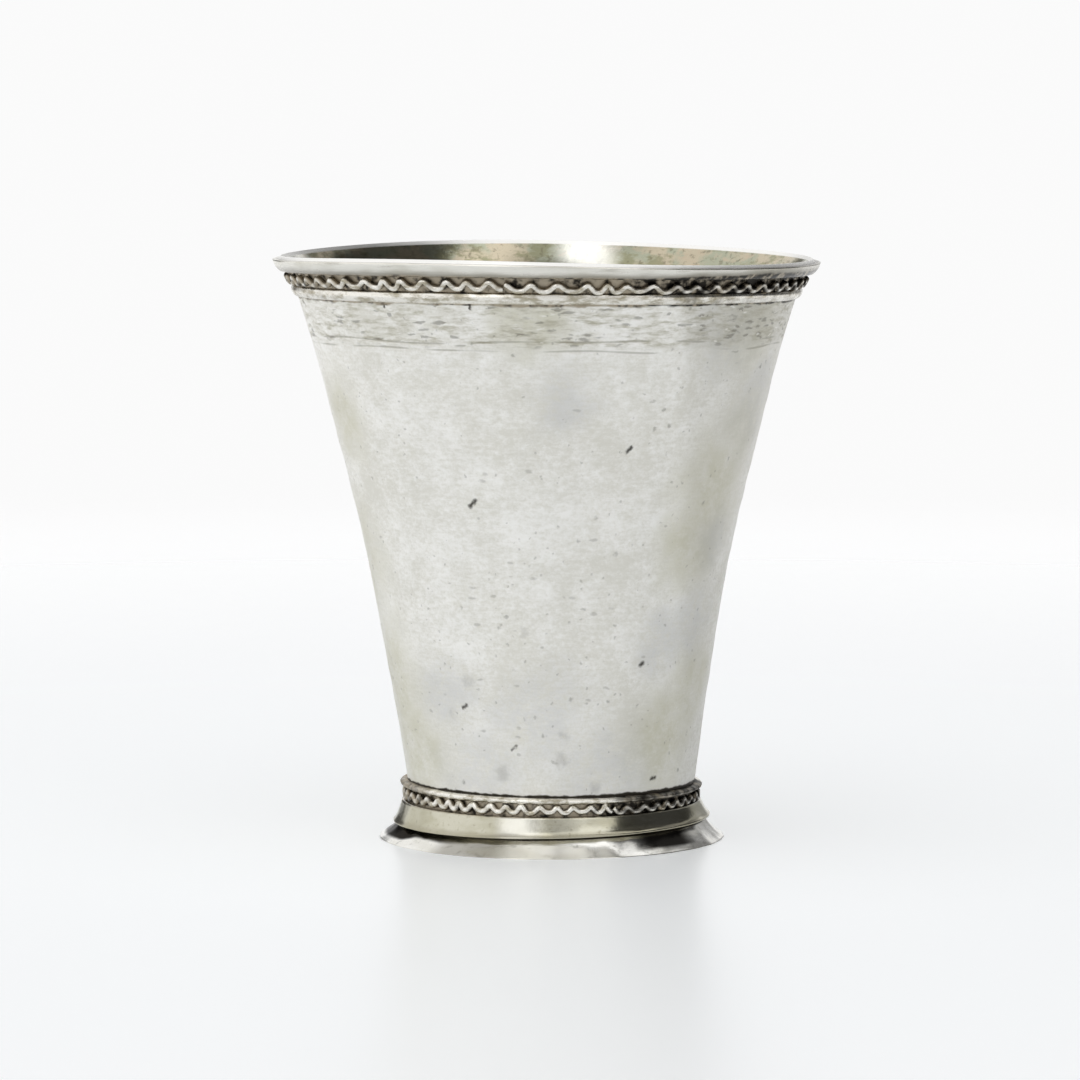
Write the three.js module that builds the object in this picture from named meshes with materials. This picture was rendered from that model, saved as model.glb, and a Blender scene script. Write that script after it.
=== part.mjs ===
// Silver beaker: a raised trumpet-shaped cup with a soldered rim moulding and a soldered foot.
// Millimetres, +Z up, origin at the centre of the surface that it stands on.
import * as THREE from "three";

// Overall size
const HEIGHT = 95; // from the table to the crest of the lip
const RIM_DIAMETER = 89; // across the sharp outer edge of the lip

// Cup, raised from one sheet
const WALL = 0.8;
const FLOOR = 1; // thickness of the floor
const FLOOR_CORNER = 1.2; // inside radius where the floor turns up into the wall
const FLOOR_INSET = 1.2; // how far the cup's underside sits above the bottom of the collar
const WAIST_DIAMETER = 47; // outside of the wall inside the foot
const WAIST_LEAN = 7.2; // degrees that the wall leans out just above the foot
const LIP_HEIGHT = 6.8; // from the throat to the crest of the lip
const LIP_FLARE = 3.65; // how far the cup's own edge stands out beyond the throat

// Edge band round the outside of the lip
const BAND_HEIGHT = 1.85;
const BAND_DROP = 0.4; // from the crest down to the band's sharp edge
const BAND_OVERHANG = 0.55; // how far that sharp edge stands out beyond the cup's own edge
const BAND_FOOT = 1; // thickness of the band along its lower edge

// Waved wires
const WAVE_WIRE = 0.9; // wire diameter
const RIM_WAVE_PITCH = 3.9;
const RIM_WAVE_RISE = 1.3; // from trough to crest of the wire's centre line
const FOOT_WAVE_PITCH = 2.9;
const FOOT_WAVE_RISE = 0.9;
const CREST_SHARPNESS = 0.2; // above 0, crests are narrower than troughs
const WIRE_JOINT = 0.3; // gap between a waved wire's two ends, at the back

// Bead wires, flat against the wall and rounded outside
const RIM_BEAD_HEIGHT = 1.65;
const RIM_BEAD_PROJECTION = 0.6;
const FOOT_BEAD_HEIGHT = 1.1;
const FOOT_BEAD_PROJECTION = 1.15;

// Foot
const FLANGE_HEIGHT = 2.9;
const FLANGE_SPREAD = 2.8; // how far the flange's edge stands out beyond its neck
const FLANGE_EDGE = 0.5; // thickness of that edge
const FLANGE_HOLLOW = 0.5; // how hollow its face is: 0 is straight, 1 turns from level to upright
const FLANGE_SOLE = 2; // width of the flat ring that it stands on
const FLANGE_NECK = 1; // thickness of the flange at its top
const NECK_STEP = 0.65; // how far the flange's neck stands out beyond the collar's top
const COLLAR_HEIGHT = 3.2;
const COLLAR_WALL = 0.8; // thickness at the collar's top
const COLLAR_FLARE = 1.5; // how far the collar's lower lip stands out beyond its top
const COLLAR_EDGE = 0.5; // thickness of that lip
const COLLAR_HOLLOW = 0.6; // how hollow its face is, as for the flange

const SOLDER_GAP = 0.1; // solder film between pieces that touch

// Facets
const SEGMENTS = 60; // round each turned piece
const WALL_STEPS = 6;
const LIP_STEPS = 4;
const CORNER_STEPS = 3;
const HOLLOW_STEPS = 4;
const BEAD_STEPS = 5;
const STEPS_PER_WAVE = 6;
const WIRE_SIDES = 5;
const SUMS_PER_WAVE = 24; // points per wave when a waved wire's length is summed

const at = (radius, height) => new THREE.Vector2(radius, height);

// Places worked out from the sizes above, as radii and heights
const waistRadius = WAIST_DIAMETER / 2;
const collarBottom = FLANGE_HEIGHT + SOLDER_GAP;
const collarTop = collarBottom + COLLAR_HEIGHT;
const collarInside = waistRadius + SOLDER_GAP;
const collarNeckRadius = collarInside + COLLAR_WALL;
const flangeNeckRadius = collarNeckRadius + NECK_STEP;
const flangeRadius = flangeNeckRadius + FLANGE_SPREAD;
const footWaveMiddle = collarTop + SOLDER_GAP + (FOOT_WAVE_RISE + WAVE_WIRE) / 2;
const footBeadMiddle = footWaveMiddle + (FOOT_WAVE_RISE + WAVE_WIRE + FOOT_BEAD_HEIGHT) / 2 + SOLDER_GAP;
const footTop = footBeadMiddle + FOOT_BEAD_HEIGHT / 2;
const cupBottom = collarBottom + FLOOR_INSET;
const cupEdgeRadius = RIM_DIAMETER / 2 - BAND_OVERHANG;
const throat = at(cupEdgeRadius - LIP_FLARE, HEIGHT - LIP_HEIGHT);
const bandTop = HEIGHT - BAND_DROP;
const bandBottom = bandTop - BAND_HEIGHT;

// A shallow arc from one point to another that sets off leaning out from upright by an angle in radians.
function leaningArc(start, lean, end) {
  const chord = end.clone().sub(start);
  const turn = Math.atan2(chord.x, chord.y) - lean;
  const reach = chord.length() / (2 * Math.cos(turn));
  const bend = at(start.x + reach * Math.sin(lean), start.y + reach * Math.cos(lean));
  return new THREE.QuadraticBezierCurve(start, bend, end);
}

const waist = at(waistRadius, footTop);
const trumpet = leaningArc(waist, THREE.MathUtils.degToRad(WAIST_LEAN), throat);
const throatWay = trumpet.getTangent(1);
const lip = leaningArc(throat, Math.atan2(throatWay.x, throatWay.y), at(cupEdgeRadius, HEIGHT));

// The outside of the cup's wall at a height: the point, the way up along the wall and the way out of it.
function wallAt(height) {
  const curve = height < throat.y ? trumpet : lip;
  let low = 0;
  let high = 1;
  while (high - low > 1e-9) {
    const middle = (low + high) / 2;
    if (curve.getPoint(middle).y < height) low = middle;
    else high = middle;
  }
  const up = curve.getTangent(low);
  return { point: curve.getPoint(low), up, out: at(up.y, -up.x) };
}

// The wall inside the foot stands upright.
function footWallAt(height) {
  return { point: at(waistRadius, height), up: at(0, 1), out: at(1, 0) };
}

// The point that lies a distance out from a place on the wall, and a distance along the wall from it.
function besideWall(seat, out, along) {
  return seat.point.clone().addScaledVector(seat.out, out).addScaledVector(seat.up, along);
}

// A curve from a lower edge up to a narrower neck, hollow towards the outside by a share from 0 to 1.
function hollow(edge, neck, share) {
  const bend = edge.clone().lerp(neck, 0.5).lerp(at(neck.x, edge.y), share);
  return new THREE.QuadraticBezierCurve(edge, bend, neck).getPoints(HOLLOW_STEPS);
}

// A solid turned about the Z axis from a section that starts and ends on the axis.
function turned(section) {
  return new THREE.LatheGeometry(section, SEGMENTS).rotateX(Math.PI / 2);
}

// A ring turned about the Z axis from a section that closes on itself.
function ring(section) {
  return turned([...section, section[0].clone()]);
}

// The cup: floor, rounded corner, upright foot of the wall, trumpet wall and flared lip.
function cupBody() {
  const heights = [...trumpet.getPoints(WALL_STEPS), ...lip.getPoints(LIP_STEPS).slice(1)].map((p) => p.y);
  const seats = heights.map(wallAt);
  const outside = seats.map((seat) => seat.point);
  const inside = seats.map((seat) => besideWall(seat, -WALL, 0)).reverse();
  const edge = seats.at(-1);
  inside[0] = at(cupEdgeRadius - WALL / edge.out.x, HEIGHT);
  const corner = (wall, floor) =>
    new THREE.EllipseCurve(
      waistRadius - WALL - FLOOR_CORNER,
      cupBottom + FLOOR + FLOOR_CORNER,
      FLOOR_CORNER + wall,
      FLOOR_CORNER + floor,
      -Math.PI / 2,
      0,
    ).getPoints(CORNER_STEPS);
  return turned([
    at(0, cupBottom),
    ...corner(WALL, FLOOR),
    ...outside,
    ...inside,
    ...corner(0, 0).reverse(),
    at(0, cupBottom + FLOOR),
  ]);
}

// The edge band: it follows the lip inside, and leans out to a sharp edge at the top.
function edgeBand() {
  const seats = [bandTop, (bandTop + bandBottom) / 2, bandBottom].map(wallAt);
  const inside = seats.map((seat) => besideWall(seat, SOLDER_GAP, 0));
  const lowerEdge = inside.at(-1);
  return ring([...inside, at(lowerEdge.x + BAND_FOOT, lowerEdge.y), at(RIM_DIAMETER / 2, bandTop)]);
}

// A bead wire: flat towards the wall, half an ellipse outside.
function bead(seat, height, projection) {
  const face = new THREE.EllipseCurve(0, 0, projection, height / 2, -Math.PI / 2, Math.PI / 2);
  return ring(face.getPoints(BEAD_STEPS).map((p) => besideWall(seat, SOLDER_GAP + p.x, p.y)));
}

// The centre line of a waved wire that lies against the wall, starting and ending at the back.
class WaveLine extends THREE.Curve {
  constructor(middle, up, rise, pitch) {
    super();
    this.middle = middle;
    this.up = up;
    this.rise = rise;
    this.waves = Math.round((2 * Math.PI * middle.x) / pitch);
    this.joint = WIRE_JOINT / middle.x;
    this.arcLengthDivisions = this.waves * SUMS_PER_WAVE;
  }

  getPoint(t, target = new THREE.Vector3()) {
    const turn = this.joint / 2 + t * (2 * Math.PI - this.joint);
    const phase = turn * this.waves;
    const swing = Math.cos(phase) + CREST_SHARPNESS * (Math.cos(2 * phase) - 1);
    const place = this.middle.clone().addScaledVector(this.up, (swing * this.rise) / 2);
    return target.set(-place.x * Math.sin(turn), place.x * Math.cos(turn), place.y);
  }
}

// A waved wire of round section, lying against the wall.
function waveWire(seat, rise, pitch) {
  const line = new WaveLine(besideWall(seat, SOLDER_GAP + WAVE_WIRE / 2, 0), seat.up, rise, pitch);
  const corners = Array.from({ length: WIRE_SIDES }, (_, i) => {
    const angle = (2 * Math.PI * i) / WIRE_SIDES;
    return at((WAVE_WIRE / 2) * Math.cos(angle), (WAVE_WIRE / 2) * Math.sin(angle));
  });
  return new THREE.ExtrudeGeometry(new THREE.Shape(corners), {
    steps: line.waves * STEPS_PER_WAVE,
    extrudePath: line,
  });
}

// The collar: upright inside, hollowed outside down to a sharp lower lip.
function collar() {
  const lipRadius = collarNeckRadius + COLLAR_FLARE;
  return ring([
    at(collarInside, collarBottom),
    at(lipRadius, collarBottom),
    ...hollow(at(lipRadius, collarBottom + COLLAR_EDGE), at(collarNeckRadius, collarTop), COLLAR_HOLLOW),
    at(collarInside, collarTop),
  ]);
}

// The flange: a hollowed spreading ring with a thin edge, open in the middle.
function flange() {
  return ring([
    at(flangeRadius - FLANGE_SOLE, 0),
    at(flangeRadius, 0),
    ...hollow(at(flangeRadius, FLANGE_EDGE), at(flangeNeckRadius, FLANGE_HEIGHT), FLANGE_HOLLOW),
    at(flangeNeckRadius - FLANGE_NECK, FLANGE_HEIGHT),
  ]);
}

// The rim's waved wire lies under the edge band, and its bead wire under the waved wire.
const rimWaveSeat = wallAt(bandBottom - SOLDER_GAP - (RIM_WAVE_RISE + WAVE_WIRE) / 2);
const rimWaveTrough = besideWall(rimWaveSeat, SOLDER_GAP + WAVE_WIRE / 2, -RIM_WAVE_RISE / 2);
const rimBeadTop = rimWaveTrough.y - WAVE_WIRE / 2 - SOLDER_GAP;
const rimBeadSeat = wallAt(rimBeadTop - RIM_BEAD_HEIGHT / 2);

function silver(color, roughness) {
  return new THREE.MeshStandardMaterial({ color, roughness, metalness: 1 });
}

function piece(name, geometry, material) {
  const mesh = new THREE.Mesh(geometry, material);
  mesh.name = name;
  return mesh;
}

const wornSilver = silver(0xcfcdc6, 0.45);
const brightSilver = silver(0xd8d7d1, 0.25);
const dullWire = silver(0xb9b6ac, 0.4);
const yellowedSilver = silver(0xb9b49f, 0.22);

const rimMoulding = new THREE.Group();
rimMoulding.add(
  piece("rim_edge_band", edgeBand(), brightSilver),
  piece("rim_wave_wire", waveWire(rimWaveSeat, RIM_WAVE_RISE, RIM_WAVE_PITCH), dullWire),
  piece("rim_bead_wire", bead(rimBeadSeat, RIM_BEAD_HEIGHT, RIM_BEAD_PROJECTION), dullWire),
);

const foot = new THREE.Group();
foot.add(
  piece("foot_bead_wire", bead(footWallAt(footBeadMiddle), FOOT_BEAD_HEIGHT, FOOT_BEAD_PROJECTION), dullWire),
  piece("foot_wave_wire", waveWire(footWallAt(footWaveMiddle), FOOT_WAVE_RISE, FOOT_WAVE_PITCH), dullWire),
  piece("foot_collar", collar(), yellowedSilver),
  piece("foot_flange", flange(), yellowedSilver),
);

const beaker = new THREE.Group();
beaker.name = "silver_beaker";
beaker.add(piece("cup_body", cupBody(), wornSilver), rimMoulding, foot);

export default beaker;
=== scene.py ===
"""The looks of the silver beaker.

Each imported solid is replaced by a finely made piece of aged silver, in metres and in the frame of
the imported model: +Z goes up the beaker's axis and -Y faces the camera.
"""

import math
from collections import namedtuple

import bpy
import numpy as np
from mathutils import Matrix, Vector


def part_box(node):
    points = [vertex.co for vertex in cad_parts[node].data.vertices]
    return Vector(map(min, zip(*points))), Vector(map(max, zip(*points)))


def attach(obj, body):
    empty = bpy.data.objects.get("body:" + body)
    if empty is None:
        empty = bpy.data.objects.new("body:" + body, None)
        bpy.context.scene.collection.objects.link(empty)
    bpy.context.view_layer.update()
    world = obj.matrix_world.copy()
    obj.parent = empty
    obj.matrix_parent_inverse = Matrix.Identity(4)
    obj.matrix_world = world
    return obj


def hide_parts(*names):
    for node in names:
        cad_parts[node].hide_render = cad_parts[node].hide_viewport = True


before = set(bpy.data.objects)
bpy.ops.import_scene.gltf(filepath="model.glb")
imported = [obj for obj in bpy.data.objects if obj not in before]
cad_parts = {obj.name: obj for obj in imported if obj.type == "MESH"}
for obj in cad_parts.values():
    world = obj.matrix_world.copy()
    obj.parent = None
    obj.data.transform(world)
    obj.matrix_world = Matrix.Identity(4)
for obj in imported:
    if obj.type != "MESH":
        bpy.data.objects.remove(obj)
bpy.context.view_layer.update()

MM = 0.001
TURN = 2 * math.pi
BACK = math.pi / 2
FRONT = -math.pi / 2

Span = namedtuple("Span", "radius bottom top")


def span(node):
    """Radius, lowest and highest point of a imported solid."""
    low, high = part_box(node)
    return Span(high.x, low.z, high.z)


CUP = span("cup_body")
BAND = span("rim_edge_band")
RIM_WAVE = span("rim_wave_wire")
RIM_BEAD = span("rim_bead_wire")
FOOT_BEAD = span("foot_bead_wire")
FOOT_WAVE = span("foot_wave_wire")
COLLAR = span("foot_collar")
FLANGE = span("foot_flange")

# Sizes that the solids' boxes don't show
WALL = 0.8 * MM
WAIST_RADIUS = 23.5 * MM
WAIST_LEAN = math.radians(7.2)
LIP_HEIGHT = 6.8 * MM
LIP_FLARE = 3.65 * MM
FLOOR = 1.0 * MM
FLOOR_CORNER = 1.2 * MM
BAND_FOOT = 1.0 * MM
BAND_BULGE = 0.35 * MM
RIM_WIRE = 0.92 * MM
FOOT_WIRE = 0.98 * MM
RIM_WAVE_PITCH = 3.9 * MM
FOOT_WAVE_PITCH = 2.75 * MM
RIM_WAVE_RISE = 1.1 * MM
FOOT_WAVE_RISE = 0.88 * MM
CREST_SHARPNESS = 0.2
WIRE_JOINT = 0.3 * MM
WIRE_STEP = 0.35 * MM
FIRST_CREST = -0.5
WIRE_SUNK = 0.1 * MM
RIM_JOINT = FRONT - math.radians(9.2)
FOOT_JOINT = FRONT + math.radians(24)
RIM_BEAD_HEIGHT = 1.95 * MM
RIM_BEAD_PROJECTION = 0.7 * MM
FOOT_BEAD_HEIGHT = 1.1 * MM
FOOT_BEAD_PROJECTION = 1.2 * MM
COLLAR_NECK = WAIST_RADIUS + 0.9 * MM
COLLAR_CONE = 1.15 * MM
COLLAR_EDGE = 0.3 * MM
COLLAR_LIP_SHARPNESS = 7
FLANGE_NECK = COLLAR_NECK + 0.65 * MM
FLANGE_WALL = 1.0 * MM
FLANGE_SOLE = 2.0 * MM
FLANGE_OVERHANG = 0.4 * MM
FLANGE_HOLLOW = 0.5
BRIM_WIDTH = 2.75 * MM
BRIM_HEIGHT = 1.85 * MM
SHELTER = 0.2 * MM
SOFT_EDGE = 0.16 * MM

# The smith's hand: how far the beaker is from a true turned form
RIM_SHIFT = -0.86 * MM
MOUTH_TILT = -0.0064
MOUTH_SADDLE = 0.3 * MM
LIP_TILT = -0.003
LIP_NOD = 0.0035
LIP_SADDLE = 0.17 * MM
LIP_TWIST = -0.12 * MM
LIP_WAVE = -0.16 * MM
FOOT_SKEW_HEIGHTS = (0.5 * MM, 3.3 * MM, 6.2 * MM, 9.0 * MM, 20 * MM)
FOOT_SKEWS = (0.0, 0.021, 0.002, -0.010, 0.0)
HAMMER_DEPTH = 0.03 * MM
HAMMER_FADE = 12 * MM
SAG_DEPTH = 0.1 * MM
BAND_FILED = 0.02 * MM
BEAD_FILED = 0.03 * MM
COLLAR_FILED = 0.02 * MM
FLANGE_FILED = 0.04 * MM

# Kinds of unevenness: number of ripples, most waves of one round the axis and its usual length up it
HAMMER_BLOWS = (60, 26, 9 * MM)
SAGS = (14, 5, 55 * MM)
LINE_WEAR = (12, 30, 1)
LINE_WAVES = (8, 14, 1)
FILE_MARKS = (24, 40, 12 * MM)
WAVE_RIPPLES = 10

# How unevenly the wires are waved, and how much of the painted highlight on a wave's crests and troughs its
# slopes keep, where 1 is all of it
WAVE_DRIFT = 0.6
WAVE_UNEVENNESS = 0.13
SLOPE_HIGHLIGHT_SHARE = 0.6

# Two worn lines are engraved round the cup under the rim
LINE_HEIGHTS = (81.3 * MM, 82.6 * MM)
LINE_WIDTH = 0.15 * MM
LINE_DEPTH = 0.05 * MM
LINE_WOBBLE = 0.15 * MM

# How finely the pieces are made
SEGMENTS = 360
TURNS = BACK + TURN * np.arange(SEGMENTS)[:, None] / SEGMENTS
STEPS_PER_WAVE = 12
WIRE_SIDES = 12
WALL_ROWS = 96
LINE_ROWS = 15
INSIDE_ROWS = 60
AXIS_GAP = 0.4 * MM


# Outlines: arrays of (radius, height)

def leaning_arc(start, lean, end):
    """Control points of a curve that leaves start at a lean from upright and bends evenly up to end."""
    chord = np.subtract(end, start)
    turn = math.atan2(chord[0], chord[1]) - lean
    reach = np.hypot(*chord) / (2 * math.cos(turn))
    middle = np.add(start, (reach * math.sin(lean), reach * math.cos(lean)))
    return np.array([start, middle, end]), lean + 2 * turn


def bend(points, steps):
    """Points along the curve of three control points, both ends included."""
    t = np.linspace(0, 1, steps + 1)[:, None]
    return (1 - t) ** 2 * points[0] + 2 * t * (1 - t) * points[1] + t ** 2 * points[2]


def eased(last, corner, following, soft):
    """Points round a corner between two others, eased over the length soft."""
    before = np.subtract(last, corner)
    after = np.subtract(following, corner)
    start = corner + before * min(soft / np.hypot(*before), 0.4)
    end = corner + after * min(soft / np.hypot(*after), 0.4)
    return bend(np.array([start, corner, end]), 4)


def level_line(start, end, height, count):
    """Points at one height, from one radius to another."""
    return np.column_stack([np.linspace(start, end, count), np.full(count, height)])


def hollow(edge, neck, share, steps):
    """A curve from a lower edge up to a narrower neck, hollow outwards by a share from 0 to 1."""
    straight = np.add(edge, neck) / 2
    middle = straight + share * (np.array([neck[0], edge[1]]) - straight)
    return bend(np.array([edge, middle, neck]), steps)


FOOT_TOP = FOOT_BEAD.top
LIP_INSIDE = CUP.top - 0.3 * MM
THROAT = (CUP.radius - LIP_FLARE, CUP.top - LIP_HEIGHT)
TRUMPET, THROAT_LEAN = leaning_arc((WAIST_RADIUS, FOOT_TOP), WAIST_LEAN, THROAT)
LIP = leaning_arc(THROAT, THROAT_LEAN, (CUP.radius, CUP.top))[0]
WALL_LINE = np.vstack([[(WAIST_RADIUS, CUP.bottom)], bend(TRUMPET, 400), bend(LIP, 100)[1:]])
WALL_LEAN = np.arctan2(np.gradient(WALL_LINE[:, 0]), np.gradient(WALL_LINE[:, 1]))


def beside_wall(height, out=0.0, along=0.0):
    """Points beside the cup's outer face: out from it and along it from the given height."""
    height = np.asarray(height, float)
    lean = np.interp(height, WALL_LINE[:, 1], WALL_LEAN)
    seat = height + along * np.cos(lean)
    lean = np.interp(seat, WALL_LINE[:, 1], WALL_LEAN)
    radius = np.interp(seat, WALL_LINE[:, 1], WALL_LINE[:, 0])
    return np.stack([radius + out * np.cos(lean), seat - out * np.sin(lean)], axis=-1)


# The smith's hand

def ripple(turn, height, count, around, upright, seed):
    """Even, seeded unevenness that closes on itself round the axis, about one high."""
    dice = np.random.default_rng(seed)
    total = np.zeros(np.broadcast(turn, height).shape)
    for _ in range(count):
        waves = dice.integers(-around, around + 1)
        climb = dice.normal(0, TURN / upright)
        total += np.cos(waves * turn + climb * height + dice.uniform(0, TURN))
    return total / math.sqrt(count / 2)


def hammered(turn, height):
    """How far the raised wall stands out or in from its true form."""
    above_foot = np.clip((height - FOOT_TOP) / HAMMER_FADE, 0, 1)
    below_lip = np.clip((THROAT[1] - height) / HAMMER_FADE, 0, 1)
    blows = HAMMER_DEPTH * ripple(turn, height, *HAMMER_BLOWS, seed=11)
    sags = SAG_DEPTH * ripple(turn, height, *SAGS, seed=5)
    return above_foot * below_lip * (blows + sags)


def filed(depth, seed):
    """Slight unevenness of a strip or wire finished by hand."""
    return lambda turn, height: depth * ripple(turn, height, *FILE_MARKS, seed)


def engraved(turn, height):
    """Where the worn lines under the rim are cut: from 0, nowhere, to 1, their full depth."""
    cut = np.zeros(np.broadcast(turn, height).shape)
    for seed, line in enumerate(LINE_HEIGHTS):
        worn = np.clip(0.5 + 0.5 * ripple(turn, 0, *LINE_WEAR, seed), 0, 1)
        wobble = LINE_WOBBLE * ripple(turn, 0, *LINE_WAVES, seed + 7)
        cut = np.maximum(cut, worn * np.exp(-((height - line - wobble) / LINE_WIDTH) ** 2))
    return cut


def hand_made(points):
    """Leans the cup, bends its mouth and sets its foot askew, as on the real beaker."""
    x, y, z = np.moveaxis(np.asarray(points, float), -1, 0)
    right = np.arctan2(y, x) - FRONT
    up = np.clip(z / CUP.top, 0, 1)
    lip = np.clip((z - THROAT[1]) / LIP_HEIGHT, 0, 1) ** 2
    mouth = MOUTH_TILT * x + MOUTH_SADDLE * np.cos(2 * right)
    edge = LIP_TILT * x + LIP_NOD * y + LIP_SADDLE * np.cos(2 * right)
    edge = edge + LIP_TWIST * np.sin(2 * right) + LIP_WAVE * np.sin(3 * right)
    skew = np.interp(z, FOOT_SKEW_HEIGHTS, FOOT_SKEWS) * x
    return np.stack([x + RIM_SHIFT * up, y, z + mouth * up ** 3 + edge * lip + skew], axis=-1)


# Meshes

def folds_for(length, width, steps):
    """Into how many strips a long skin is cut in its map, so that it fills a square."""
    folds = max(1, round(math.sqrt(length / width)))
    while steps % folds:
        folds -= 1
    return folds


def lengths(points):
    """Running length along a line of points, from 0 to 1, and its whole length."""
    running = np.concatenate([[0], np.cumsum(np.linalg.norm(np.diff(points, axis=0), axis=1))])
    return running / running[-1], running[-1]


class Skin:
    """A smooth mesh over a grid of points: rows run along a path, columns round its section."""

    # Shares of the map: the height for the strips, the gap at a strip's edge, the radius of an end's disc
    STRIPS = 0.96
    STRIP_GAP = 0.02
    DISC = 0.012

    def __init__(self, name, grid, closed_path, closed_section):
        self.name = name
        self.grid = grid
        self.rows, self.columns = grid.shape[:2]
        self.row_steps = self.rows if closed_path else self.rows - 1
        self.column_steps = self.columns if closed_section else self.columns - 1
        self.index = np.arange(self.rows * self.columns).reshape(self.rows, self.columns)
        self.open_loops = []
        if not closed_section:
            self.open_loops += [self.index[:, 0], self.index[::-1, -1]]
        if not closed_path:
            self.open_loops += [self.index[0, ::-1], self.index[-1]]

    def quads(self):
        """Faces between the rows and columns."""
        row, column = np.meshgrid(np.arange(self.row_steps), np.arange(self.column_steps), indexing="ij")
        next_row = (row + 1) % self.rows
        next_column = (column + 1) % self.columns
        corners = [(row, column), (row, next_column), (next_row, next_column), (next_row, column)]
        return np.stack([self.index[c] for c in corners], axis=-1).reshape(-1, 4)

    def quad_map(self):
        """The quads' places in the map: strips of the path, one above the other."""
        path = np.concatenate([self.grid, self.grid[:1]]) if self.row_steps == self.rows else self.grid
        section = self.grid[self.rows // 2]
        if self.column_steps == self.columns:
            section = np.concatenate([section, section[:1]])
        along = np.max([lengths(path[:, c])[1] for c in range(0, self.columns, 5)])
        across, width = lengths(section)
        folds = folds_for(along, width, self.row_steps)
        row, column = np.meshgrid(np.arange(self.row_steps), np.arange(self.column_steps), indexing="ij")
        strip = row * folds // self.row_steps
        left = row * folds / self.row_steps - strip
        right = left + folds / self.row_steps

        def height(c):
            return (strip + self.STRIP_GAP + across[c] * (1 - 2 * self.STRIP_GAP)) / folds * self.STRIPS

        low, high = height(column), height(column + 1)
        corners = [(left, low), (left, high), (right, high), (right, low)]
        return np.stack([np.stack(c, axis=-1) for c in corners], axis=2).reshape(-1, 2)

    def fan(self, number, loop, centre):
        """Triangles that close one open end, and their places in the map, a small disc."""
        following = np.roll(loop, -1)
        faces = np.column_stack([loop, following, np.full(len(loop), centre)])
        middle = np.array([self.STRIP_GAP + 3 * self.DISC * number, (1 + self.STRIPS) / 2])
        angle = TURN * np.arange(len(loop) + 1) / len(loop)
        edge = middle + self.DISC * np.column_stack([np.cos(angle), np.sin(angle)])
        places = np.stack([edge[:-1], edge[1:], np.broadcast_to(middle, edge[1:].shape)], axis=1)
        return faces, places.reshape(-1, 2)

    def build(self, values):
        """The mesh object; values holds one number per grid point for each named attribute."""
        points = self.grid.reshape(-1, 3)
        faces, places = self.quads().tolist(), [self.quad_map()]
        values = {key: np.broadcast_to(value, self.index.shape).ravel() for key, value in values.items()}
        for number, loop in enumerate(self.open_loops):
            fan, disc = self.fan(number, loop, len(points))
            points = np.vstack([points, points[loop].mean(axis=0)])
            values = {key: np.append(value, value[loop].mean()) for key, value in values.items()}
            faces += fan.tolist()
            places.append(disc)
        mesh = bpy.data.meshes.new(self.name)
        mesh.from_pydata(points.tolist(), [], faces)
        mesh.uv_layers.new(name="OFBake").data.foreach_set("uv", np.concatenate(places).ravel())
        for key, value in values.items():
            mesh.attributes.new(key, "FLOAT", "POINT").data.foreach_set("value", value)
        mesh.shade_smooth()
        if self.volume(points) < 0:
            mesh.flip_normals()
        made = bpy.data.objects.new(self.name, mesh)
        bpy.context.scene.collection.objects.link(made)
        return made

    def volume(self, points):
        """Six times the volume inside the quads, which is negative where they face inwards."""
        a, b, c, d = (points[corner] for corner in self.quads().T)
        return np.sum(a * (np.cross(b, c) + np.cross(c, d)))


def turned(name, section, closed=True, displaced=None, wear=1.0):
    """A piece turned round the axis, seam at the back; its section is closed or ends at the axis."""
    radius = np.broadcast_to(section[:, 0], (SEGMENTS, len(section)))
    height = np.broadcast_to(section[:, 1], radius.shape)
    if displaced is not None:
        radius = radius + displaced(TURNS, height)
    grid = hand_made(np.stack([radius * np.cos(TURNS), radius * np.sin(TURNS), height], axis=-1))
    return Skin(name, grid, True, closed).build({"level": height / MM, "wear": wear})


def drawn(name, line, out, wire, rubbed):
    """A round wire along a line, rubbed most on its crown; out points away from what it lies on."""
    ahead = np.gradient(line, axis=0)
    ahead /= np.linalg.norm(ahead, axis=1, keepdims=True)
    across = np.cross(ahead, out)
    across /= np.linalg.norm(across, axis=1, keepdims=True)
    outward = np.cross(across, ahead)
    a = TURN * np.arange(WIRE_SIDES) / WIRE_SIDES
    ring = np.cos(a)[None, :, None] * outward[:, None] + np.sin(a)[None, :, None] * across[:, None]
    grid = hand_made(line[:, None] + wire / 2 * ring)
    level = (line[:, None, 2] + wire / 2 * ring[:, :, 2]) / MM
    # The wear is the crown's rubbing times the given factor, which paints a highlight on a wave's crests
    # and troughs
    return Skin(name, grid, False, True).build({"level": level, "wear": rubbed[:, None] * np.cos(a)})


# Pieces

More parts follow.
